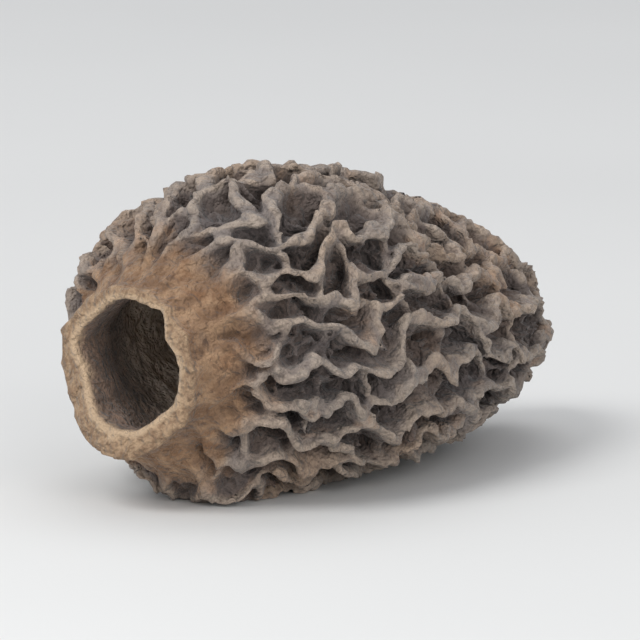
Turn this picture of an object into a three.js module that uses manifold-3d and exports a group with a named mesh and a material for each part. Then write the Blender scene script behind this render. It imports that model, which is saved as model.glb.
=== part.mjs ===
// A dried morel mushroom lying on its side, as it rests after drying: one hollow piece that grew as a whole,
// with a short cut stem that is open at its end and a conical cap covered in ridges and pits.
// Millimetres, +Z up. +X runs from the cut stem end to the tip of the cap. The origin is the centre of the
// footprint at the level of the surface that it lies on.
//
// The form is a lathe profile along X (outer skin, rim of the cut stem, wall of the hollow). Its rings are moved off
// a true circle and bent along a drooping centre line. The pits are then cut into the cap between the ridges.
import * as THREE from "three";
import { mergeVertices } from "three/addons/utils/BufferGeometryUtils.js";
import Module from "manifold-3d";

const wasm = await Module();
wasm.setup();

// Driving dimensions
const HOLLOW_END = 26.4; // how far the hollow reaches towards the tip
const CAP_START = 2.0; // where the stem ends and the ridges begin, along X
const WIDTH_SHARE = 1.03; // sideways and upright size of a ring against a true circle: the cap has sagged a little
const HEIGHT_SHARE = 0.95;
const PRESSED_FLAT = 0.45; // how much of the lowest crests has dried flat against the surface
const AROUND = 32; // faces around
const OUTER_ROWS = 18;
const INNER_ROWS = 8;
const ALONG_SHARE = 1.75; // how much longer a pit is along the cap than around it
const RIDGE_WIDTH = 0.56; // of a ridge's crest
const FLOOR_SHARE = 0.8; // size of a pit's floor against its mouth
const SHORT_EDGE = 3.0; // a longer side of a pit is bent in its middle
const TIP_RADIUS = 1.5; // the skin is closed where the cap is thinner than this
const SLIVER = 0.03; // shortest edge that a cut leaves
const DENT_RADIUS = 7; // radius at which the width of a dent is counted around the cap

// Outline of the ridge crests: distance from the cut end, radius
const OUTLINE = [
  [0.0, 4.0], [0.7, 3.82], [1.3, 3.95], [1.95, 4.6], [2.7, 5.6], [3.7, 6.6], [5.3, 7.55], [8.0, 8.1], [11.0, 8.25],
  [14.5, 7.95], [18.0, 7.25], [21.5, 6.15], [24.8, 4.7], [27.3, 3.1], [29.0, 1.65], [29.8, 0.7], [30.0, 0.0],
];
// Wall of the hollow, from the cut end to its blind end
const HOLLOW = [
  [0.0, 3.0], [1.5, 3.0], [3.0, 3.3], [5.0, 4.2], [8.0, 4.85], [12.0, 4.85], [16.0, 4.45], [20.0, 3.55],
  [23.5, 2.35], [25.6, 1.15], [HOLLOW_END, 0.0],
];
// Depth of the pits under the crests, by distance from the cut end
const DEPTH = [[0, 0], [1.7, 0], [2.8, 0.8], [5.0, 1.7], [8, 2.1], [16, 2.1], [21, 1.8], [25.5, 1.3], [28.5, 0.8], [30, 0.5]];
// Centre line: distance from the cut end, sideways, height
const CENTRE = [
  [0, -0.55, 7.1], [5, -0.2, 7.55], [10, 0.0, 7.6], [15, 0.05, 7.2], [20, 0.25, 6.55], [25, 0.6, 5.8], [30, 1.05, 4.8],
];
// Rows of pits: distance along the skin from the start of the cap, number around
const ROWS = [
  [0.7, 19], [3.2, 24], [6.0, 26], [9.2, 26], [12.4, 25], [15.6, 23], [18.8, 20], [21.9, 16], [24.8, 12], [27.4, 8], [29.7, 4], [31.6, 1],
];
// Places where the cap has shrunk in as it dried (or stands out, below 0): distance from the cut end, angle, depth, reach
const DENTS = [
  [8.5, 2.3, 0.7, 4.0], [17.0, -0.9, 0.75, 4.0], [13.0, 0.35, 0.5, 3.6], [22.0, 1.5, 0.45, 3.2], [11.0, -2.5, -0.45, 3.5],
  [19.0, 2.3, 0.4, 3.0], [4.0, -2.9, -0.9, 2.6],
];

const smooth = (a, b, v) => {
  const t = Math.min(1, Math.max(0, (v - a) / (b - a)));
  return t * t * (3 - 2 * t);
};
function along(table, x, column = 1) {
  if (x <= table[0][0]) return table[0][column];
  for (let i = 1; i < table.length; i++)
    if (x <= table[i][0]) {
      const t = (x - table[i - 1][0]) / (table[i][0] - table[i - 1][0]);
      return table[i - 1][column] + (table[i][column] - table[i - 1][column]) * t;
    }
  return table[table.length - 1][column];
}

// A curve through points, by distance along it
function skin(points) {
  const p = new THREE.SplineCurve(points.map(([x, r]) => new THREE.Vector2(x, r))).getPoints(600);
  const length = [0];
  for (let i = 1; i < p.length; i++) length.push(length[i - 1] + p[i].distanceTo(p[i - 1]));
  const at = (s) => {
    let i = 1;
    while (i < p.length - 1 && length[i] < s) i++;
    const t = Math.min(1, Math.max(0, (s - length[i - 1]) / (length[i] - length[i - 1])));
    const d = p[i].clone().sub(p[i - 1]).normalize();
    return { x: p[i - 1].x + (p[i].x - p[i - 1].x) * t, r: Math.max(0, p[i - 1].y + (p[i].y - p[i - 1].y) * t), nx: -d.y, nr: d.x };
  };
  return { total: length[length.length - 1], at, lengthAt: (x) => length[p.findIndex((q) => q.x >= x)] };
}
const outer = skin(OUTLINE), hollow = skin(HOLLOW), centre = new THREE.SplineCurve(CENTRE.map(([x, , z]) => new THREE.Vector2(x, z)));
const capStart = outer.lengthAt(CAP_START);

// Pit centres, in rows with a repeatable scatter
let state = 7411;
const random = () => (state = (state * 16807) % 2147483647) / 2147483647;
const pits = [];
ROWS.forEach(([s, n], k) => {
  const turn = random();
  for (let j = 0; j < n; j++) {
    const a = (2 * Math.PI * (j + turn + 0.5 * (random() - 0.5))) / n;
    pits.push({ s: s + 1.9 * (random() - 0.5), a, high: 0.8 + 0.2 * random(), deep: 0.82 + 0.18 * random() });
  }
});

const wrap = (a) => a - 2 * Math.PI * Math.round(a / (2 * Math.PI));

// The ridges run along the lines that are equally far from two pit centres, in a space that is drawn out along the
// cap and swayed from side to side. This is how far a place is swayed, along and around.
function sway(s, a, R) {
  const much = smooth(1.2, 5, R);
  return [
    much * (0.34 * Math.sin(3 * a + 0.45 * s + 1.1) + 0.22 * Math.sin(7 * a - 0.6 * s + 2.0)),
    (much * (0.42 * Math.sin(0.55 * s + 2 * a + 0.4) + 0.28 * Math.sin(1.25 * s + 5 * a) + 0.18 * Math.sin(2.3 * s - 7 * a + 1.7))) / R,
  ];
}

// How far a ring is off a true circle
const lumps = (x, a) =>
  1 + 0.03 * Math.cos(2 * a + 0.12 * x + 0.6) + 0.026 * Math.cos(3 * a - 0.16 * x + 2.1) + 0.016 * Math.cos(5 * a + 0.33 * x);

const dent = (x, a) =>
  DENTS.reduce((sum, [dx, da, deep, reach]) => sum + deep * Math.exp(-((x - dx) ** 2 + (DENT_RADIUS * wrap(a - da)) ** 2) / reach ** 2), 0);

// The point of the skin at x, radius r and angle a (0 is up), in place
function place(x, r, a, toLump) {
  const m = 1 + (lumps(x, a) - 1) * toLump - (toLump * dent(x, a)) / Math.max(r, 3);
  const y = along(CENTRE, x) + WIDTH_SHARE * m * r * Math.sin(a);
  const z = centreHeight(x) - PRESSED_FLAT + HEIGHT_SHARE * m * r * Math.cos(a);
  // the knife's cut isn't quite square
  const cut = (1 - smooth(0, 3.2, x)) * (0.16 * (r * Math.cos(a)) * 0.45 - 0.05 * r * Math.sin(a) + 0.12 * Math.cos(3 * a + 1));
  return new THREE.Vector3(x + cut, y, z);
}
const centreTable = centre.getPoints(300).map((p) => [p.x, p.y]);
function centreHeight(x) {
  return along(centreTable, x);
}

// Lathe profile: the outside from the tip to the cut, then the wall of the hollow to its blind end
const profile = [], rows = [];
for (let i = 0; i <= INNER_ROWS; i++) {
  const q = hollow.at(hollow.total * (1 - i / INNER_ROWS));
  rows.push({ ...q, x: i === 0 ? HOLLOW_END : q.x, r: i === 0 ? 0 : q.r, inner: true });
}
for (let i = 0; i <= OUTER_ROWS; i++) {
  const q = outer.at((outer.total * i) / OUTER_ROWS);
  rows.push({ ...q, r: i === OUTER_ROWS ? 0 : q.r, inner: false });
}
rows.reverse();
for (const q of rows) profile.push(new THREE.Vector2(q.r, q.x));
const lathe = new THREE.LatheGeometry(profile, AROUND);
const much = (x) => smooth(0, 6, x) * 0.8 + 0.2;

const position = lathe.getAttribute("position");
for (let i = 0; i <= AROUND; i++)
  for (let j = 0; j < rows.length; j++) {
    const { x, r, inner } = rows[j], a = (2 * Math.PI * (i % AROUND)) / AROUND;
    const p = r > 0 ? place(x, r, a, inner ? Math.min(much(x), 0.6) : much(x)) : new THREE.Vector3(x, along(CENTRE, x), centreHeight(x) - PRESSED_FLAT);
    position.setXYZ(i * rows.length + j, p.x, p.y, p.z);
  }

// A closed geometry as a solid: shared corners merged, faces that have collapsed at the ends left out
function solid(geometry) {
  geometry.deleteAttribute("normal");
  geometry.deleteAttribute("uv");
  const merged = mergeVertices(geometry, 1e-4), faces = [], index = merged.index.array;
  for (let i = 0; i < index.length; i += 3) {
    const [a, b, c] = [index[i], index[i + 1], index[i + 2]];
    if (a !== b && b !== c && a !== c) faces.push(a, b, c);
  }
  return new wasm.Manifold(
    new wasm.Mesh({ numProp: 3, vertProperties: merged.attributes.position.array, triVerts: new Uint32Array(faces) }),
  );
}

// The mouth of a pit: the places nearer to its centre than to any other, less half a ridge all round
function mouth(pit) {
  const R = Math.max(outer.at(capStart + pit.s).r, 0.8);
  let sides = [[-3, -4], [3, -4], [3, 4], [-3, 4]]; // along (drawn in), around
  const trim = (nu, nv, most) => {
    const kept = [];
    sides.forEach((p, i) => {
      const q = sides[(i + 1) % sides.length];
      const dp = p[0] * nu + p[1] * nv - most, dq = q[0] * nu + q[1] * nv - most;
      if (dp <= 0) kept.push(p);
      if (dp * dq < 0) kept.push([p[0] + ((q[0] - p[0]) * dp) / (dp - dq), p[1] + ((q[1] - p[1]) * dp) / (dp - dq)]);
    });
    sides = kept;
  };
  trim(-1, 0, (pit.s - 0.2) / ALONG_SHARE);
  for (const q of pits) {
    const du = (q.s - pit.s) / ALONG_SHARE, dv = R * wrap(q.a - pit.a), l = Math.hypot(du, dv);
    if (q === pit || l > 8) continue;
    trim(du / l, dv / l, l / 2 - (RIDGE_WIDTH / 2) * Math.hypot(du / l / ALONG_SHARE, dv / l));
  }
  // very short sides are left out, long ones get a corner in the middle
  const length = (p, q) => Math.hypot((q[0] - p[0]) * ALONG_SHARE, q[1] - p[1]);
  sides = sides.filter((p, i) => length(p, sides[(i + 1) % sides.length]) > 0.42);
  const bent = [];
  sides.forEach((p, i) => {
    const q = sides[(i + 1) % sides.length];
    bent.push(p);
    if (length(p, q) > SHORT_EDGE) bent.push([(p[0] + q[0]) / 2, (p[1] + q[1]) / 2]);
  });
  return { R, corners: bent };
}

// A pit as a tapered plug that stands out of the skin, cut into the cap by its own depth
function plug(pit) {
  const { R, corners } = mouth(pit);
  if (corners.length < 3 || R < TIP_RADIUS) return null;
  const flat = corners.map(([u, v]) => new THREE.Vector2(u * ALONG_SHARE, v));
  if (Math.abs(THREE.ShapeUtils.area(flat)) < 0.35) return null;
  const middle = flat.reduce((sum, p) => sum.add(p), new THREE.Vector2()).divideScalar(flat.length);
  const geometry = new THREE.ExtrudeGeometry(new THREE.Shape(flat), { depth: 1, steps: 1, bevelEnabled: false });
  const corner = geometry.getAttribute("position");
  for (let i = 0; i < corner.count; i++) {
    const top = corner.getZ(i) > 0.5, share = top ? 1 : FLOOR_SHARE;
    const S = pit.s + middle.x + (corner.getX(i) - middle.x) * share;
    const A = pit.a + (middle.y + (corner.getY(i) - middle.y) * share) / R;
    let s = S, a = A;
    for (let pass = 0; pass < 12; pass++) {
      const [ds, da] = sway(s, a, R);
      s = S - ds;
      a = A - da;
    }
    const q = outer.at(Math.min(outer.total - 0.1, capStart + s));
    const n = top ? 0.5 : -along(DEPTH, q.x) * (0.5 + 0.5 * pit.deep);
    const p = place(q.x + n * q.nx, Math.max(0.3, q.r + n * q.nr), a, much(q.x));
    corner.setXYZ(i, p.x, p.y, p.z);
  }
  return solid(geometry);
}

let whole = solid(lathe);
for (const pit of pits) {
  const cutter = plug(pit);
  if (cutter && cutter.volume() > 0) whole = whole.subtract(cutter);
}

// The crests that it lies on are flat, in the plane of the surface
const below = solid(new THREE.BoxGeometry(80, 80, 20).translate(0, 0, -10));
const cutSolid = whole.subtract(below);
const made = cutSolid.getMesh();
const corners = [];
for (let i = 0; i < made.numVert; i++) corners.push(Array.from(made.vertProperties.subarray(i * made.numProp, i * made.numProp + 3)));
let faces = [];
for (let i = 0; i < made.triVerts.length; i += 3) faces.push(Array.from(made.triVerts.subarray(i, i + 3)));

// Slivers that the cuts leave are closed up: the two ends of a very short edge become one corner, wherever that
// takes away no more than the two faces beside the edge
for (let round = 0; round < 6; round++) {
  const beside = corners.map(() => new Set()), touched = new Set(), moved = new Map();
  for (const [i, j, k] of faces) {
    beside[i].add(j).add(k);
    beside[j].add(i).add(k);
    beside[k].add(i).add(j);
  }
  const short = [];
  beside.forEach((set, i) => set.forEach((j) => i < j && short.push([Math.hypot(...corners[i].map((c, n) => c - corners[j][n])), i, j])));
  for (const [length, i, j] of short.filter(([length]) => length < SLIVER).sort((one, two) => one[0] - two[0])) {
    const around = new Set([i, j, ...beside[i], ...beside[j]]);
    if ([...around].some((n) => touched.has(n))) continue;
    if ([...beside[i]].filter((n) => beside[j].has(n)).length !== 2) continue;
    around.forEach((n) => touched.add(n));
    moved.set(j, i);
    const lower = corners[i][2] < corners[j][2] ? i : j;
    corners[i] = corners[lower][2] < 0.01 ? corners[lower] : corners[i].map((c, n) => (c + corners[j][n]) / 2);
  }
  if (!moved.size) break;
  faces = faces.map((face) => face.map((n) => moved.get(n) ?? n)).filter(([i, j, k]) => i !== j && j !== k && i !== k);
}
const used = [...new Set(faces.flat())], number = new Map(used.map((n, i) => [n, i]));
const geometry = new THREE.BufferGeometry()
  .setAttribute("position", new THREE.BufferAttribute(new Float32Array(used.flatMap((n) => corners[n])), 3))
  .setIndex(faces.flat().map((n) => number.get(n)));
geometry.computeBoundingBox();
const box = geometry.boundingBox;
geometry.translate(-(box.min.x + box.max.x) / 2, -(box.min.y + box.max.y) / 2, -box.min.z);
geometry.computeVertexNormals();

const skinMaterial = new THREE.MeshStandardMaterial({ color: 0x4a3c32, roughness: 0.85, metalness: 0 });
const morel = new THREE.Mesh(geometry, skinMaterial);
morel.name = "morel";

const group = new THREE.Group();
group.add(morel);
export default group;
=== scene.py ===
"""A dried morel mushroom lying on its side: a conical cap of crinkled ridges and pits on a short cut stem,
hollow from the cut end. The form is built here as a solid field (cap wall, ridges, hollow, cut), turned into
one closed mesh, and finished with procedural materials."""
import math

import bmesh
import bpy
import numpy as np
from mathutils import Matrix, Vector


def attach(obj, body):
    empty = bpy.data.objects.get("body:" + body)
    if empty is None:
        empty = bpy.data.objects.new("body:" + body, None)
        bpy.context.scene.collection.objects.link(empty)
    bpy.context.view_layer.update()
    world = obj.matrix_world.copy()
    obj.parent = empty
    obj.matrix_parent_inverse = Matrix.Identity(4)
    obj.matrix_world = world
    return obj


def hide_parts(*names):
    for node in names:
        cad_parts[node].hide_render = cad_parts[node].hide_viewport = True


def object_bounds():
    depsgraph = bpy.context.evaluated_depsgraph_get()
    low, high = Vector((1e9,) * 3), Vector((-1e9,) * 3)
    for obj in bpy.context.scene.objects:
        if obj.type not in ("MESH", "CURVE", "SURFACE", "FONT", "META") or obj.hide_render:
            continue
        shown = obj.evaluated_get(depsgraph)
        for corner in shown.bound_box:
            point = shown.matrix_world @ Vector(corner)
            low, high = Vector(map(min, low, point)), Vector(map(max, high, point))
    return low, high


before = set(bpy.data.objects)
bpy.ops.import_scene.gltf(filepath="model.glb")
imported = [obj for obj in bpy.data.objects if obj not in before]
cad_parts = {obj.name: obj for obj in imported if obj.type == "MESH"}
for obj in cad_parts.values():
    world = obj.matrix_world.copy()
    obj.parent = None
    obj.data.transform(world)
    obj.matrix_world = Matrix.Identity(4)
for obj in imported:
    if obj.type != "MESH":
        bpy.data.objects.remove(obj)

cad_low, cad_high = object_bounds()
VOXEL = 0.125  # mm
FACES = 197000  # triangles kept

# ---------------------------------------------------------------- driving dimensions, mm
SHIFT = np.array([-14.769642, -0.103523, 0.0])  # from the profile's own frame to the row's frame
CAP_START = 2.0
WIDTH_SHARE, HEIGHT_SHARE, PRESSED_FLAT = 1.03, 0.95, 0.45
ALONG_SHARE = 1.75
OUTLINE = [
    (0.0, 4.0), (0.7, 3.82), (1.3, 3.95), (1.95, 4.6), (2.7, 5.6), (3.7, 6.6), (5.3, 7.55), (8.0, 8.1), (11.0, 8.25),
    (14.5, 7.95), (18.0, 7.25), (21.5, 6.15), (24.8, 4.7), (27.3, 3.1), (29.0, 1.65), (29.8, 0.7), (30.0, 0.0),
]
HOLLOW = [
    (0.0, 3.0), (1.5, 3.0), (3.0, 3.3), (5.0, 4.2), (8.0, 4.85), (12.0, 4.85), (16.0, 4.45), (20.0, 3.55),
    (23.5, 2.35), (25.6, 1.15), (26.4, 0.0),
]
DEPTH = [(0, 0), (1.7, 0), (2.8, 0.8), (5.0, 1.7), (8, 2.1), (16, 2.1), (21, 1.8), (25.5, 1.3), (28.5, 0.8), (30, 0.5)]
CENTRE = [
    (0, -0.55, 7.1), (5, -0.2, 7.55), (10, 0.0, 7.6), (15, 0.05, 7.2), (20, 0.25, 6.55), (25, 0.6, 5.8), (30, 1.05, 4.8),
]
ROWS = [
    (0.7, 19), (3.2, 24), (6.0, 26), (9.2, 26), (12.4, 25), (15.6, 23), (18.8, 20), (21.9, 16), (24.8, 12), (27.4, 8), (29.7, 4), (31.6, 1),
]
DENTS = [  # distance from the cut end, angle, depth, reach
    (8.5, 2.3, 0.7, 4.0), (17.0, -0.9, 0.75, 4.0), (13.0, 0.35, 0.5, 3.6), (22.0, 1.5, 0.45, 3.2), (11.0, -2.5, -0.45, 3.5),
    (19.0, 2.3, 0.4, 3.0), (4.0, -2.9, -0.9, 2.6),
]
DENT_RADIUS = 7


def smooth(a, b, v):
    t = np.clip((v - a) / (b - a), 0, 1)
    return t * t * (3 - 2 * t)


def along(table, x, column=1):
    t = np.array(table, float)
    return np.interp(x, t[:, 0], t[:, column])


def spline(points, n):
    """n + 1 points of the uniform Catmull-Rom curve through points."""
    p = np.array(points, float)
    t = np.linspace(0, 1, n + 1) * (len(p) - 1)
    i = np.minimum(np.floor(t).astype(int), len(p) - 1)
    w = (t - i)[:, None]
    p0, p1 = p[np.maximum(i - 1, 0)], p[i]
    p2, p3 = p[np.minimum(i + 1, len(p) - 1)], p[np.minimum(i + 2, len(p) - 1)]
    v0, v1 = (p2 - p0) * 0.5, (p3 - p1) * 0.5
    return (2 * p1 - 2 * p2 + v0 + v1) * w**3 + (-3 * p1 + 3 * p2 - 2 * v0 - v1) * w**2 + v0 * w + p1


class Skin:
    """A profile curve, with tables of the distance along it and the distance out from it."""

    X0, R0, STEP = -3.0, 0.0, 0.06

    def __init__(self, points):
        p = spline(points, 900)
        p[:, 1] = np.maximum(p[:, 1], 0)
        d = np.diff(p, axis=0)
        seg = np.hypot(d[:, 0], d[:, 1])
        keep = np.append(True, seg > 1e-7)
        p = p[keep]
        d = np.diff(p, axis=0)
        seg = np.hypot(d[:, 0], d[:, 1])
        self.p, self.length = p, np.append(0, np.cumsum(seg))
        self.total = self.length[-1]
        tangent = d / seg[:, None]
        nx, nr = int(37 / self.STEP), int(12 / self.STEP)
        gx, gr = np.meshgrid(self.X0 + self.STEP * np.arange(nx), self.R0 + self.STEP * np.arange(nr), indexing="ij")
        q = np.stack([gx.ravel(), gr.ravel()], 1)
        mid = (p[1:] + p[:-1]) / 2
        near = np.empty(len(q), int)
        for a in range(0, len(q), 8192):
            b = q[a:a + 8192]
            near[a:a + 8192] = np.argmin((b[:, None, 0] - mid[None, :, 0])**2 + (b[:, None, 1] - mid[None, :, 1])**2, 1)
        rel = q - mid[near]
        t = tangent[near]
        s = (self.length[near] + self.length[near + 1]) / 2 + (rel * t).sum(1)
        out = -rel[:, 0] * t[:, 1] + rel[:, 1] * t[:, 0]
        distance = np.hypot(rel[:, 0], rel[:, 1])
        out = np.where(out < 0, -1, 1) * np.maximum(np.abs(out), 0)
        out = np.where((np.abs(out) < distance * 0.7) & (distance > 0.3), np.sign(out) * distance, out)
        self.s, self.n = s.reshape(nx, nr), out.reshape(nx, nr)

    def radius(self, s):
        return np.interp(s, self.length, self.p[:, 1])

    def x(self, s):
        return np.interp(s, self.length, self.p[:, 0])

    def length_at(self, x):
        return self.length[np.argmax(self.p[:, 0] >= x)]

    def look(self, table, x, r):
        return sample2(table, (x - self.X0) / self.STEP, (r - self.R0) / self.STEP)


def sample2(table, u, v):
    u = np.clip(u, 0, table.shape[0] - 1.001)
    v = np.clip(v, 0, table.shape[1] - 1.001)
    i, j = u.astype(int), v.astype(int)
    fu, fv = u - i, v - j
    return (table[i, j] * (1 - fu) + table[i + 1, j] * fu) * (1 - fv) + (table[i, j + 1] * (1 - fu) + table[i + 1, j + 1] * fu) * fv


outer, hollow = Skin(OUTLINE), Skin(HOLLOW)
cap_start = outer.length_at(CAP_START)
centre_height = spline([(x, z) for x, _, z in CENTRE], 300)

# ---------------------------------------------------------------- the pits
state = 7411


def random():
    global state
    state = (state * 16807) % 2147483647
    return state / 2147483647


pits = []
for s_row, n_row in ROWS:
    turn = random()
    for j in range(n_row):
        angle = 2 * math.pi * (j + turn + 0.5 * (random() - 0.5)) / n_row
        ds = 1.9 * (random() - 0.5)
        high = 0.8 + 0.2 * random()
        pits.append((s_row + ds, angle, high, 0.82 + 0.18 * random()))
pits = np.array(pits)


def wrap(a):
    return a - 2 * np.pi * np.round(a / (2 * np.pi))


def waves(seed, n, low, high, periodic=True):
    """A repeatable sum of sines over distance along the skin (mm) and angle, from -1 to 1 or so. low and high are wavelengths in mm."""
    g = np.random.default_rng(seed)
    k = []
    for _ in range(n):
        length = math.exp(g.uniform(math.log(low), math.log(high)))
        way = g.uniform(0, np.pi)
        ks = 2 * np.pi / length * math.cos(way)
        ka = round(2 * np.pi / length * math.sin(way) * 6.5)  # whole turns, at a typical radius
        k.append((ks, ka, g.uniform(0, 2 * np.pi)))

    def value(s, a):
        total = 0
        for ks, ka, phase in k:
            total = total + np.sin(ks * s + ka * a + phase)
        return 1.3 * np.tanh(total / math.sqrt(n) / 1.3)

    return value


ragged = waves(11, 18, 0.7, 3.0)
lean_s, lean_a = waves(21, 10, 3.4, 8.0), waves(22, 10, 3.4, 8.0)
thick = waves(31, 14, 0.7, 3.0)
nicks = waves(12, 26, 0.38, 0.95)
floor_waves = waves(41, 16, 0.8, 2.6)
septa = waves(43, 14, 1.7, 3.6)
curl_s, curl_a = waves(51, 14, 1.5, 3.8), waves(52, 14, 1.5, 3.8)

NS, NA, NT = 470, 768, 36
S0, DS = -1.6, 0.075
T0, DT = -0.8, 0.12
map_s = S0 + DS * np.arange(NS)
map_a = 2 * np.pi * np.arange(NA) / NA
map_t = T0 + DT * np.arange(NT)


def smin(a, b, k):
    h = np.maximum(k - np.abs(a - b), 0) / k
    return np.minimum(a, b) - h * h * k * 0.25


def smax(a, b, k):
    return -smin(-a, -b, k)


def relief():
    """The cap's relief as a field over (depth under the crests, distance along, angle): negative is flesh. And the
    depth of the pit floors.
    """
    field = np.empty((NT, NS, NA), np.float32)
    floors = np.empty((NS, NA), np.float32)
    a = map_a
    t = map_t[:, None]
    for i, s in enumerate(map_s):
        at = s + cap_start
        x, R = float(outer.x(at)), max(float(outer.radius(at)), 0.8)
        deep = float(along(DEPTH, x))
        much = float(smooth(1.2, 5, R))
        ws = s + much * (0.34 * np.sin(3 * a + 0.45 * s + 1.1) + 0.22 * np.sin(7 * a - 0.6 * s + 2.0))
        wa = a + much * (0.42 * np.sin(0.55 * s + 2 * a + 0.4) + 0.28 * np.sin(1.25 * s + 5 * a) + 0.18 * np.sin(2.3 * s - 7 * a + 1.7)) / R
        for _ in range(2):
            ws, wa = ws + 0.14 * curl_s(ws, wa), wa + 0.14 * curl_a(ws, wa) / R
        gap = np.abs(pits[:, 0] - s)
        near = pits[gap <= max(4.6, np.partition(gap, 8)[8])]
        U = (near[None, :, 0] - ws[:, None]) / ALONG_SHARE
        V = R * wrap(near[None, :, 1] - wa[:, None])
        d = U * U + V * V
        first = np.argmin(d, 1)
        row = np.arange(NA)
        dU, dV = U - U[row, first][:, None], V - V[row, first][:, None]
        length = np.hypot(dU, dV)
        length[row, first] = 1
        nu, nv = dU / length, dV / length
        slope = np.hypot(nu / ALONG_SHARE, nv)
        slope[row, first] = 1
        edge = (d - d[row, first][:, None]) / (2 * length) / slope
        edge[row, first] = 1e3
        K = 5
        best = np.argpartition(edge, K, 1)[:, :K]
        e = np.take_along_axis(edge, best, 1)
        across = np.take_along_axis(np.abs(nu / ALONG_SHARE) / slope, best, 1)
        high_q, high_1 = near[best, 2], near[first, 2][:, None]
        chance = np.mod(7919 * (high_1 + high_q), 1)
        high = (1 - smooth(0.5, 0.95, across) * (0.12 + 0.46 * chance)) * np.minimum(1, 0.5 * (high_1 + high_q) + 0.06)
        crest = deep * (1 - high) + min(1, deep) * (0.17 * ragged(s, a) + 0.075 * nicks(s, a))[:, None]
        floor = deep * (0.5 + 0.5 * near[first, 3]) + (0.2 - 0.65 * (1 - np.minimum(1, np.abs(floor_waves(s, a)) * 1.3))**2) * min(1, deep)
        fold = (1 - np.minimum(1, np.abs(septa(ws, wa)) * 1.5))**1.5 * float(smooth(0.8, 1.6, deep))
        floor = floor - np.minimum(1.5, 0.8 * deep) * fold * (0.75 + 0.35 * thick(s * 0.5, a))
        stem_folds = 0.1 * float(1 - smooth(0.0, 2.0, s)) * (0.25 + 0.75 * float(smooth(-1.6, 0.6, s))) * (
            np.sin(5 * a + 1.2) + 0.8 * np.sin(9 * a + 0.6 * np.sin(2 * a + s)) + 0.7 * np.sin(14 * a + 0.4 * s) + 0.7 * floor_waves(s * 0.3, a))
        floor = floor + stem_folds + 0.1
        bead = np.maximum(0.19, 0.285 - 0.05 * across + 0.09 * thick(s, a)[:, None]) * (0.7 + 0.3 * min(1, deep))
        total = None
        for k in range(K):
            h = t - crest[None, :, k]
            rb, ek = bead[None, :, k], e[None, :, k]
            ball = np.hypot(ek, h - rb) - rb
            neck = np.maximum(rb * 0.62, 0.185) + 0.2 * (np.maximum(h, 0) / max(deep, 0.5))**2
            slab = np.maximum(ek - neck, rb - h)
            ridge = smin(ball, slab, 0.1)
            total = ridge if total is None else smin(total, ridge, 0.1)
        field[:, i] = smin(total, floor[None] - t, 0.4)
        floors[i] = floor
    return field, floors


import time
clock = time.time()
field3, floors = relief()
print("relief", round(time.time() - clock, 1), flush=True)


def sample3(table, t, s, a):
    """Trilinear, wrapping round in a."""
    t = np.clip(t, 0, NT - 1.001)
    s = np.clip(s, 0, NS - 1.001)
    a = np.mod(a, NA)
    i, j, k = t.astype(int), s.astype(int), a.astype(int) % NA
    ft, fs, fa = (t - i).astype(np.float32), (s - j).astype(np.float32), (a - np.floor(a)).astype(np.float32)
    k1 = (k + 1) % NA
    flat = table.reshape(-1)
    def g(ii, jj, kk):
        return flat[(ii * NS + jj) * NA + kk]
    c00 = g(i, j, k) * (1 - fa) + g(i, j, k1) * fa
    c01 = g(i, j + 1, k) * (1 - fa) + g(i, j + 1, k1) * fa
    c10 = g(i + 1, j, k) * (1 - fa) + g(i + 1, j, k1) * fa
    c11 = g(i + 1, j + 1, k) * (1 - fa) + g(i + 1, j + 1, k1) * fa
    return (c00 * (1 - fs) + c01 * fs) * (1 - ft) + (c10 * (1 - fs) + c11 * fs) * ft


def lumps(x, a):
    return 1 + 0.03 * np.cos(2 * a + 0.12 * x + 0.6) + 0.026 * np.cos(3 * a - 0.16 * x + 2.1) + 0.016 * np.cos(5 * a + 0.33 * x)


def dent(x, a):
    return sum(deep * np.exp(-((x - dx)**2 + (DENT_RADIUS * wrap(a - da))**2) / reach**2) for dx, da, deep, reach in DENTS)


def sway(seed, n, low, high):
    """A smooth repeatable vector field in space, for shrivelling. Wavelengths in mm."""
    g = np.random.default_rng(seed)
    terms = []
    for _ in range(n):
        way = g.normal(size=3)
        way /= np.linalg.norm(way)
        terms.append((way * 2 * np.pi / math.exp(g.uniform(math.log(low), math.log(high))), g.uniform(0, 2 * np.pi), g.normal(size=3)))

    def value(P):
        total = np.zeros_like(P)
        for k, phase, v in terms:
            total += np.sin(P @ k + phase)[:, None] * v
        return total / math.sqrt(n)

    return value


shrivel = sway(61, 6, 5.0, 9.0)
crumple = sway(62, 8, 1.6, 3.5)
crinkle = sway(63, 14, 0.6, 1.3)


def straight(P):
    """Points in the row frame (mm) to (x along, radius, angle) of the straight, round form."""
    Q = P + 0.2 * shrivel(P) + smooth(-13.5, -9, P[:, :1]) * (0.1 * crumple(P) + 0.02 * crinkle(P)) + 0.03 * crinkle(P) - SHIFT
    x = Q[:, 0]
    y = (Q[:, 1] - along(CENTRE, x)) / WIDTH_SHARE
    z = (Q[:, 2] - (np.interp(x, centre_height[:, 0], centre_height[:, 1]) - PRESSED_FLAT)) / HEIGHT_SHARE
    a = np.arctan2(y, z)
    r = np.hypot(y, z)
    to_lump = smooth(0, 6, x) * 0.8 + 0.2
    round_share = 1 + (lumps(x, a) - 1) * to_lump
    inward = to_lump * dent(x, a)
    inward = inward - 0.7 * np.exp(-((x - 2.6)**2 + (DENT_RADIUS * wrap(a - 2.95))**2 / 2) / 2.1**2)  # a swelling under the stem
    true = r
    for _ in range(2):
        true = r / (round_share - inward / np.maximum(true, 3))
    return x, true, a


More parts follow.
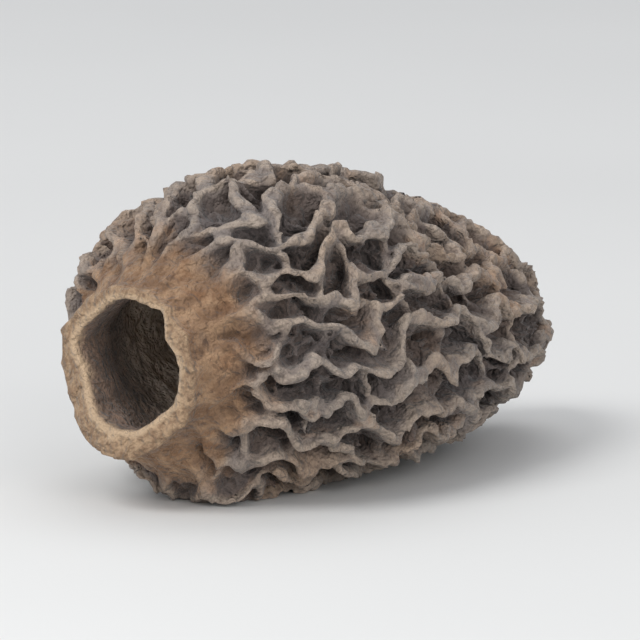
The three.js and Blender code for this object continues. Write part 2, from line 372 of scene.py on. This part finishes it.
def solid(P, parts=False):
    """Signed field of the mushroom at points in the row frame, mm: negative in the flesh."""
    x, r, a = straight(P)
    s = outer.look(outer.s, x, r)
    n = outer.look(outer.n, x, r)
    depth = -n
    cs = s - cap_start
    lift = np.clip(1.1 - depth, -1.5, 1.1) * smooth(-0.5, 3, cs)
    R = np.maximum(r, 1.0)
    ls, la = cs, a
    for _ in range(2):
        ls, la = ls + 0.17 * lift * lean_s(ls, la), la + 0.22 * lift * lean_a(ls, la) / R
    skin = sample3(field3, (depth - T0) / DT, (ls - S0) / DS, la / (2 * np.pi) * NA)
    # the hollow, with the pits showing faintly from inside
    mouth = 1 - smooth(0.5, 4, x)
    inside = hollow.look(hollow.n, x, r) + 0.1 * floor_waves(cs * 0.8, a) * smooth(2, 7, x) + 0.03 * np.sin(9 * a + 0.7 * np.sin(0.9 * x)) * (1 - smooth(5, 9, x))
    inside = inside - mouth * (0.28 * np.cos(a) - 0.1 * np.sin(a) + 0.07 * np.cos(2 * a) + 0.064 * np.sin(2 * a) + 0.03 * np.sin(6 * a + 1.0))
    inside = inside + mouth * (0.16 + 0.22 * np.exp(-(wrap(a - 1.85) / 0.4)**2) - 0.2 * np.exp(-(wrap(a - 1.25) / 0.28)**2))
    # the edge of the mouth has folded in beside a small split
    inside = inside + mouth * (0.36 * np.exp(-(wrap(a + 0.97) * 3.1 / 0.62)**2) - 0.42 * np.exp(-(wrap(a + 0.62) * 3.1 / 0.46)**2))
    inside = inside + mouth * 0.045 * floor_waves(9.0 + 0.3 * x, a)
    wall = smax(skin, -inside, 0.12)
    # the knife's cut
    cut = 0.072 * r * np.cos(a) - 0.05 * r * np.sin(a) + 0.12 * np.cos(3 * a + 1) + 0.04 * np.cos(5 * a + 2) + 0.025 * floor_waves(r * 0.8, a) - x
    whole = smax(wall, cut, 0.22)
    whole = smax(whole, -P[:, 2], 0.05)
    if parts:
        return whole, depth, cs, inside, cut, ls, la
    return whole


# ---------------------------------------------------------------- one closed mesh from the field
def grid_field():
    low = np.array([cad_low[i] * 1000 for i in range(3)]) - 0.6
    high = np.array([cad_high[i] * 1000 for i in range(3)]) + 0.6
    n = np.ceil((high - low) / VOXEL).astype(int) + 1
    f = np.empty(n, np.float32)
    y, z = low[1] + VOXEL * np.arange(n[1]), low[2] + VOXEL * np.arange(n[2])
    Y, Z = [g.ravel() for g in np.meshgrid(y, z, indexing="ij")]
    block = 10
    for i in range(0, n[0], block):
        xs = low[0] + VOXEL * np.arange(i, min(i + block, n[0]))
        P = np.stack([np.repeat(xs, len(Y)), np.tile(Y, len(xs)), np.tile(Z, len(xs))], 1)
        f[i:i + len(xs)] = solid(P).reshape(len(xs), n[1], n[2])
    return f, low


def surface(f, low):
    """Surface nets: one vertex in each cell that the surface crosses, one quad for each crossed grid edge."""
    inside = f < 0
    corners = [(i, j, k) for i in (0, 1) for j in (0, 1) for k in (0, 1)]
    n = np.array(f.shape) - 1
    count = np.zeros(n, np.int8)
    for i, j, k in corners:
        count += inside[i:i + n[0], j:j + n[1], k:k + n[2]]
    active = (count > 0) & (count < 8)
    index = np.full(n, -1, np.int32)
    cells = np.argwhere(active)
    index[active] = np.arange(len(cells))
    total, hits = np.zeros((len(cells), 3)), np.zeros(len(cells))
    for c in corners:
        for axis in range(3):
            if c[axis]:
                continue
            c2 = list(c)
            c2[axis] = 1
            fa = f[cells[:, 0] + c[0], cells[:, 1] + c[1], cells[:, 2] + c[2]]
            fb = f[cells[:, 0] + c2[0], cells[:, 1] + c2[1], cells[:, 2] + c2[2]]
            m = (fa < 0) != (fb < 0)
            t = fa[m] / (fa[m] - fb[m])
            p = np.tile(np.array(c, float), (m.sum(), 1))
            p[:, axis] = t
            total[m] += p
            hits[m] += 1
    points = (total / hits[:, None] + cells) * VOXEL + low
    quads = []
    for axis in range(3):
        b, c = (axis + 1) % 3, (axis + 2) % 3
        first = [slice(None)] * 3
        second = [slice(None)] * 3
        first[axis], second[axis] = slice(0, -1), slice(1, None)
        one, two = inside[tuple(first)], inside[tuple(second)]
        for flip, m in ((False, one & ~two), (True, ~one & two)):
            e = np.argwhere(m)
            e = e[(e[:, b] > 0) & (e[:, c] > 0) & (e[:, b] < n[b]) & (e[:, c] < n[c])]
            corner = []
            for db, dc in ((-1, -1), (0, -1), (0, 0), (-1, 0)):
                g = e.copy()
                g[:, b] += db
                g[:, c] += dc
                corner.append(index[g[:, 0], g[:, 1], g[:, 2]])
            q = np.stack(corner, 1)
            quads.append(q[:, ::-1] if flip else q)
    return points, np.concatenate(quads)


def largest(points, quads):
    """Only the biggest connected piece."""
    label = np.arange(len(points))
    e = np.concatenate([quads[:, [0, 1]], quads[:, [1, 2]], quads[:, [2, 3]], quads[:, [3, 0]]])
    while True:
        low = np.minimum(label[e[:, 0]], label[e[:, 1]])
        new = label.copy()
        np.minimum.at(new, e[:, 0], low)
        np.minimum.at(new, e[:, 1], low)
        new = new[new]
        new = new[new]
        if (new == label).all():
            break
        label = new
    best = np.bincount(label).argmax()
    keep = label == best
    number = np.cumsum(keep) - 1
    return points[keep], number[quads[keep[quads[:, 0]]]]


def relax(points, quads, rounds):
    e = np.concatenate([quads[:, [0, 1]], quads[:, [1, 2]], quads[:, [2, 3]], quads[:, [3, 0]]])
    count = np.bincount(e[:, 0], minlength=len(points)) + np.bincount(e[:, 1], minlength=len(points))
    for weight in [0.5, -0.52] * rounds:
        mean = np.stack([np.bincount(e[:, 0], points[e[:, 1], i], len(points)) + np.bincount(e[:, 1], points[e[:, 0], i], len(points)) for i in range(3)], 1) / count[:, None]
        points = points + weight * (mean - points)
    return points


def joined(f):
    """Fills grid points so that no square of four has flesh at two opposite corners only."""
    for _ in range(12):
        filled = 0
        for b, c in ((0, 1), (0, 2), (1, 2)):
            parts = []
            for i, j in ((0, 0), (1, 0), (0, 1), (1, 1)):
                cut = [slice(None)] * 3
                cut[b] = slice(1, None) if i else slice(0, -1)
                cut[c] = slice(1, None) if j else slice(0, -1)
                parts.append(f[tuple(cut)])
            p00, p10, p01, p11 = parts
            i00, i10, i01, i11 = [p < 0 for p in parts]
            for one, other, mask in ((p10, p01, i00 & i11 & ~i10 & ~i01), (p00, p11, i10 & i01 & ~i00 & ~i11)):
                filled += int(mask.sum())
                near = mask & (one <= other)
                one[near] = -0.02
                other[mask & ~near] = -0.02
        if not filled:
            break
    return f


f, low = grid_field()
f = joined(f)
print("field", f.shape, round(time.time() - clock, 1), flush=True)
points, quads = surface(f, low)
points, quads = largest(points, quads)
points = relax(points, quads, 2)
print("mesh", len(points), len(quads), round(time.time() - clock, 1), flush=True)

mesh = bpy.data.meshes.new("morel_flesh")
mesh.vertices.add(len(points))
mesh.vertices.foreach_set("co", (points * 0.001).astype(np.float32).ravel())
mesh.loops.add(quads.size)
mesh.loops.foreach_set("vertex_index", quads.astype(np.int32).ravel())
mesh.polygons.add(len(quads))
mesh.polygons.foreach_set("loop_start", np.arange(0, quads.size, 4, dtype=np.int32))
mesh.polygons.foreach_set("loop_total", np.full(len(quads), 4, np.int32))
mesh.update(calc_edges=True)
morel = bpy.data.objects.new("dried_morel", mesh)
bpy.context.scene.collection.objects.link(morel)

ratio = FACES / (2 * len(quads))
if ratio < 1:
    thin = morel.modifiers.new("thin", "DECIMATE")
    thin.ratio = ratio
    thin.use_collapse_triangulate = True
    bpy.context.view_layer.update()
    fewer = bpy.data.meshes.new_from_object(morel.evaluated_get(bpy.context.evaluated_depsgraph_get()))
    morel.modifiers.clear()
    morel.data = fewer
    bpy.data.meshes.remove(mesh)
    mesh = fewer
    mesh.name = "morel_flesh"
    # the thinning leaves some tiny flaps folded flat, two triangles on the same corners: both go
    mesh.validate()
    tidy = bmesh.new()
    tidy.from_mesh(mesh)
    flaps = [face for face in tidy.faces if all(edge.is_boundary for edge in face.edges)]
    bmesh.ops.delete(tidy, geom=flaps, context="FACES")
    print("flaps", len(flaps), "edges without two faces", sum(1 for edge in tidy.edges if len(edge.link_faces) != 2), flush=True)
    tidy.to_mesh(mesh)
    tidy.free()
    print("valid", not mesh.validate(), flush=True)
print("thinned",len(mesh.vertices), len(mesh.polygons), round(time.time() - clock, 1), flush=True)

# ---------------------------------------------------------------- masks for the finish, from the form itself
co = np.empty(len(mesh.vertices) * 3, np.float32)
mesh.vertices.foreach_get("co", co)
P = co.reshape(-1, 3).astype(float) * 1000
_, depth, cs, inside, cut, ls, la = solid(P, True)


def blurred(f, mm):
    """How much of the space around each grid point is flesh, over about mm each way."""
    g = (f < 0).astype(np.float32)
    w = max(1, int(round(mm / VOXEL / 2)))
    for axis in range(3):
        for _ in range(2):
            c = np.cumsum(np.pad(g, [(w + 1, w) if i == axis else (0, 0) for i in range(3)], mode="edge"), axis=axis, dtype=np.float64)
            hi = np.take(c, range(2 * w + 1, c.shape[axis]), axis=axis)
            lo = np.take(c, range(0, c.shape[axis] - 2 * w - 1), axis=axis)
            g = ((hi - lo) / (2 * w + 1)).astype(np.float32)
    return g


def at_points(g, P):
    u = (P - low) / VOXEL
    u = np.clip(u, 0, np.array(g.shape) - 1.001)
    i = u.astype(int)
    t = u - i
    total = 0
    for a in (0, 1):
        for b in (0, 1):
            for c in (0, 1):
                w = (t[:, 0] if a else 1 - t[:, 0]) * (t[:, 1] if b else 1 - t[:, 1]) * (t[:, 2] if c else 1 - t[:, 2])
                total = total + w * g[i[:, 0] + a, i[:, 1] + b, i[:, 2] + c]
    return total


close = at_points(blurred(f, 0.9), P)  # share of flesh near by: low on crests, high in creases
wide = at_points(blurred(f, 3.2), P)
edge = at_points(blurred(f, 0.5), P)  # the same close up: low only along the very edge of a crest
floor_at = sample2(np.concatenate([floors, floors[:, :1]], 1), (ls - S0) / DS, np.mod(la / (2 * np.pi) * NA, NA))
is_inside = smooth(0.25, -0.05, inside) * 1.0
is_cut = smooth(-0.35, -0.06, cut)


def attribute(name, value):
    made = mesh.attributes.new(name, "FLOAT", "POINT")
    made.data.foreach_set("value", np.clip(value, 0, 1).astype(np.float32))


rise = 1 - depth / np.maximum(floor_at, 0.3)
attribute("rise", rise)
attribute("close", close)
attribute("wide", wide)
attribute("edge", edge)
attribute("stem", 1 - smooth(-0.8, 3.0, cs))
attribute("inside", is_inside)
attribute("cut", is_cut)
attribute("lip", smooth(0.62, 0.08, inside))
attribute("along", (cs + cap_start) / outer.total)
mesh.polygons.foreach_set("use_smooth", np.ones(len(mesh.polygons), bool))
print("masks", [(n, round(float(np.percentile(v, 5)), 2), round(float(np.percentile(v, 50)), 2), round(float(np.percentile(v, 95)), 2)) for n, v in (("close", close), ("wide", wide), ("edge", edge), ("rise", rise))], round(time.time() - clock, 1), flush=True)


# ---------------------------------------------------------------- materials
class Nodes:
    """Short calls for building a node tree."""

    def __init__(self, name):
        self.material = bpy.data.materials.new(name)
        self.material.use_nodes = True
        self.tree = self.material.node_tree
        self.tree.nodes.clear()
        self.out = self.tree.nodes.new("ShaderNodeOutputMaterial")
        self.shader = self.tree.nodes.new("ShaderNodeBsdfPrincipled")
        self.tree.links.new(self.shader.outputs["BSDF"], self.out.inputs["Surface"])

    def put(self, socket, value):
        if isinstance(value, bpy.types.NodeSocket):
            self.tree.links.new(value, socket)
        else:
            socket.default_value = value

    def attribute(self, name):
        n = self.tree.nodes.new("ShaderNodeAttribute")
        n.attribute_name = name
        return n.outputs["Fac"]

    def position(self, stretch=(1, 1, 1)):
        c = self.tree.nodes.new("ShaderNodeTexCoord")
        m = self.tree.nodes.new("ShaderNodeMapping")
        m.inputs["Scale"].default_value = stretch
        self.tree.links.new(c.outputs["Object"], m.inputs["Vector"])
        return m.outputs["Vector"]

    def noise(self, where, size_mm, detail=4, rough=0.55, distortion=0.0):
        n = self.tree.nodes.new("ShaderNodeTexNoise")
        self.put(n.inputs["Vector"], where)
        n.inputs["Scale"].default_value = 1000.0 / size_mm
        n.inputs["Detail"].default_value = detail
        n.inputs["Roughness"].default_value = rough
        n.inputs["Distortion"].default_value = distortion
        return n.outputs["Fac"]

    def voronoi(self, where, size_mm, feature="F1"):
        n = self.tree.nodes.new("ShaderNodeTexVoronoi")
        n.feature = feature
        self.put(n.inputs["Vector"], where)
        n.inputs["Scale"].default_value = 1000.0 / size_mm
        return n.outputs["Distance"]

    def math(self, operation, a, b=0.0, c=0.0, clamp=False):
        n = self.tree.nodes.new("ShaderNodeMath")
        n.operation = operation
        n.use_clamp = clamp
        for socket, value in zip(n.inputs, (a, b, c)):
            self.put(socket, value)
        return n.outputs[0]

    def step(self, value, a, b, low=0.0, high=1.0):
        n = self.tree.nodes.new("ShaderNodeMapRange")
        n.interpolation_type = "SMOOTHSTEP"
        for name, v in (("Value", value), ("From Min", a), ("From Max", b), ("To Min", low), ("To Max", high)):
            self.put(n.inputs[name], v)
        return n.outputs[0]

    def mix(self, share, a, b, blend="MIX"):
        n = self.tree.nodes.new("ShaderNodeMix")
        n.data_type, n.blend_type = "RGBA", blend
        n.clamp_factor = True
        self.put(n.inputs[0], share)
        self.put(n.inputs[6], a)
        self.put(n.inputs[7], b)
        return n.outputs[2]

    def bump(self, height, mm, strength=1.0, normal=None):
        n = self.tree.nodes.new("ShaderNodeBump")
        n.inputs["Strength"].default_value = strength
        n.inputs["Distance"].default_value = mm * 0.001
        self.put(n.inputs["Height"], height)
        if normal is not None:
            self.put(n.inputs["Normal"], normal)
        return n.outputs["Normal"]


def srgb(r, g, b):
    return tuple((c / 255 / 12.92 if c <= 10.31 else ((c / 255 + 0.055) / 1.055)**2.4) for c in (r, g, b)) + (1.0,)


def flesh():
    m = Nodes("dried_flesh")
    where = m.position()
    long = m.position((0.35, 1, 1))
    rise, close, wide, edge = m.attribute("rise"), m.attribute("close"), m.attribute("wide"), m.attribute("edge")
    stem, inside, cut, along_ = m.attribute("stem"), m.attribute("inside"), m.attribute("cut"), m.attribute("along")
    fine = m.noise(where, 0.35, 6, 0.62)
    mottle = m.noise(where, 1.6, 5, 0.6, 0.3)
    patch = m.noise(where, 5.0, 3, 0.5)
    # pits and flanks
    pit = m.mix(m.step(mottle, 0.35, 0.68), srgb(92, 80, 74), srgb(120, 105, 96))
    pit = m.mix(m.step(patch, 0.4, 0.7, 0.0, 0.5), pit, srgb(94, 87, 85))
    # crests
    crest = m.mix(m.step(fine, 0.34, 0.68), srgb(130, 115, 104), srgb(160, 143, 128))
    crest = m.mix(m.step(patch, 0.38, 0.64, 0.0, 0.75), crest, srgb(130, 119, 112))
    warm_patch_and_highlight_noise = m.noise(where, 2.6, 3, 0.5)
    # warm patches on the crests: partly the crests' own warmer tone, partly painted highlight
    crest = m.mix(m.step(warm_patch_and_highlight_noise, 0.55, 0.66, 0.0, 0.7), crest, srgb(182, 152, 128))
    speck = m.noise(where, 0.3, 3, 0.6)
    crest = m.mix(m.step(speck, 0.54, 0.66, 0.0, 0.6), crest, srgb(98, 84, 76))
    pit = m.mix(m.step(speck, 0.3, 0.45, 0.5, 0.0), pit, srgb(62, 52, 48))
    tip = m.math("ADD", m.step(close, 0.62, 0.36), m.math("MULTIPLY", m.math("SUBTRACT", mottle, 0.5), 0.7))
    tip = m.math("MULTIPLY", tip, m.step(rise, 0.2, 0.8), clamp=True)
    # the very edge of each crest turns paler: partly the ridge edge's own paler tone, partly a painted highlight
    pale_crest_edge_and_painted_highlight = m.math("MULTIPLY", m.step(edge, 0.43, 0.3), m.step(rise, 0.35, 0.75))
    pale_crest_edge_and_painted_highlight = m.math("MULTIPLY", pale_crest_edge_and_painted_highlight, m.step(m.math("ADD", m.math("MULTIPLY", mottle, 0.6), m.math("MULTIPLY", patch, 0.4)), 0.36, 0.58, 0.15, 0.9))
    crest = m.mix(pale_crest_edge_and_painted_highlight, crest, m.mix(m.step(fine, 0.35, 0.62), srgb(148, 132, 118), srgb(176, 158, 141)))
    cap = m.mix(tip, pit, crest)
    cool = m.noise(where, 6.0, 2, 0.5)
    cap = m.mix(m.step(cool, 0.44, 0.62, 0.0, 0.9), cap, (0.89, 0.93, 0.98, 1.0), "MULTIPLY")
    cap = m.mix(m.step(cool, 0.46, 0.34, 0.0, 0.9), cap, (1.06, 0.97, 0.88, 1.0), "MULTIPLY")
    # stem and rim
    skin = m.mix(m.step(m.noise(long, 0.9, 5, 0.6), 0.36, 0.66), srgb(120, 92, 69), srgb(162, 131, 102))
    skin = m.mix(m.step(mottle, 0.52, 0.72, 0.0, 0.7), skin, srgb(126, 90, 62))
    # painted crease shade on the stem: the skin darkens where much flesh is near by
    skin = m.mix(m.step(close, 0.5, 0.72, 0.0, 0.7), skin, srgb(104, 78, 58))
    skin = m.mix(m.step(m.noise(where, 0.55, 3, 0.6), 0.6, 0.7, 0.0, 0.7), skin, srgb(86, 64, 50))
    rim = m.mix(m.step(fine, 0.36, 0.64), srgb(132, 106, 82), srgb(168, 141, 113))
    rim = m.mix(m.step(m.attribute("lip"), 0.2, 0.9, 0.0, 0.75), rim, srgb(196, 170, 140))
    hollow_wall_and_painted_light = m.mix(m.step(mottle, 0.36, 0.66), srgb(92, 76, 66), srgb(126, 104, 90))
    # painted light: the hollow's wall turns pale further in from the cut, lifting the shade deep inside
    hollow_wall_and_painted_light = m.mix(m.step(along_, 0.04, 0.22), hollow_wall_and_painted_light, srgb(222, 206, 188))
    spread = m.math("MULTIPLY_ADD", m.math("SUBTRACT", mottle, 0.5), 1.5, m.math("MULTIPLY_ADD", m.math("SUBTRACT", warm_patch_and_highlight_noise, 0.5), 1.2, stem))
    colour = m.mix(m.step(spread, 0.22, 0.92), cap, skin)
    colour = m.mix(inside, colour, hollow_wall_and_painted_light)
    colour = m.mix(cut, colour, rim)
    # painted crease shade: the whole colour darkens where much flesh is near by, in creases and pits
    painted_crease_shade = m.step(close, 0.55, 0.85, 1.0, 0.6)
    colour = m.mix(1.0, colour, painted_crease_shade, "MULTIPLY")
    m.put(m.shader.inputs["Base Color"], colour)
    m.put(m.shader.inputs["Roughness"], m.step(fine, 0.3, 0.7, 0.72, 0.92))
    m.shader.inputs["Specular IOR Level"].default_value = 0.35
    m.shader.inputs["Sheen Weight"].default_value = 0.12
    m.shader.inputs["Sheen Roughness"].default_value = 0.5
    wrinkle = m.noise(where, 0.7, 2, 0.5, 1.0)
    grain = m.noise(where, 0.24, 1, 0.5)
    folds = m.voronoi(m.position((0.5, 1, 1)), 0.5)
    height = m.math("MULTIPLY_ADD", grain, 0.6, wrinkle)
    height = m.math("MULTIPLY_ADD", folds, 0.3, height)
    m.put(m.shader.inputs["Normal"], m.bump(height, 0.42, 1.0))
    return m.material


def plain(name, colour, roughness):
    m = Nodes(name)
    where = m.position()
    m.put(m.shader.inputs["Base Color"], m.mix(m.step(m.noise(where, 60, 2), 0.3, 0.7, 0.0, 1.0), colour, tuple(c * 0.97 for c in colour[:3]) + (1,)))
    m.shader.inputs["Roughness"].default_value = roughness
    m.shader.inputs["Specular IOR Level"].default_value = 0.2
    return m.material


mesh.materials.clear()
mesh.materials.append(flesh())
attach(morel, "root")
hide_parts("morel")

# ---------------------------------------------------------------- floor, lights, camera
floor_mesh = bpy.data.meshes.new("floor")
size = 6.0
floor_mesh.from_pydata([(-size, -size, 0), (size, -size, 0), (size, size, 0), (-size, size, 0)], [], [(0, 1, 2, 3)])
floor_mesh.materials.append(plain("floor_paint", srgb(228, 228, 226), 0.75))
floor = bpy.data.objects.new("floor", floor_mesh)
floor.location.z = -0.00002
bpy.context.scene.collection.objects.link(floor)


def area_light(name, place, target, size, power, colour=(1, 1, 1)):
    data = bpy.data.lights.new(name, "AREA")
    data.shape, data.size, data.energy, data.color = "DISK", size, power, colour
    o = bpy.data.objects.new(name, data)
    o.location = place
    o.rotation_mode = "QUATERNION"
    o.rotation_quaternion = (Vector(target) - Vector(place)).to_track_quat("-Z", "Y")
    o.visible_camera = False
    bpy.context.scene.collection.objects.link(o)
    return o


def around(azimuth, elevation, distance):
    a, e = math.radians(azimuth), math.radians(elevation)
    return (math.sin(a) * math.cos(e) * distance, -math.cos(a) * math.cos(e) * distance, math.sin(e) * distance)


middle = (0.0, 0.0, 0.006)
area_light("key", around(-98, 50, 0.30), middle, 0.15, 0.41)
area_light("fill", around(-28, 22, 0.34), middle, 0.22, 0.34)
area_light("top", around(130, 65, 0.34), middle, 0.24, 0.2)
area_light("front", around(-76, 13, 0.40), middle, 0.2, 0.13)
world = bpy.data.worlds.new("studio")
world.use_nodes = True
world.node_tree.nodes["Background"].inputs["Color"].default_value = (0.93, 0.95, 1.0, 1)
world.node_tree.nodes["Background"].inputs["Strength"].default_value = 0.52
bpy.context.scene.world = world
bpy.context.scene.view_settings.view_transform = "Standard"

AZIMUTH, ELEVATION = -49, 10
camera_data = bpy.data.cameras.new("camera")
camera_data.sensor_width, camera_data.lens = 36, 610
camera_data.clip_start, camera_data.clip_end = 0.01, 30
camera = bpy.data.objects.new("camera", camera_data)
camera.rotation_mode = "QUATERNION"
look_at = Vector((-0.0007, 0.0, 0.0069))
back = Vector(around(AZIMUTH, ELEVATION, 1.0))
camera.location = look_at + back * 0.5
camera.rotation_quaternion = (-back).to_track_quat("-Z", "Y")
bpy.context.scene.collection.objects.link(camera)
bpy.context.scene.camera = camera
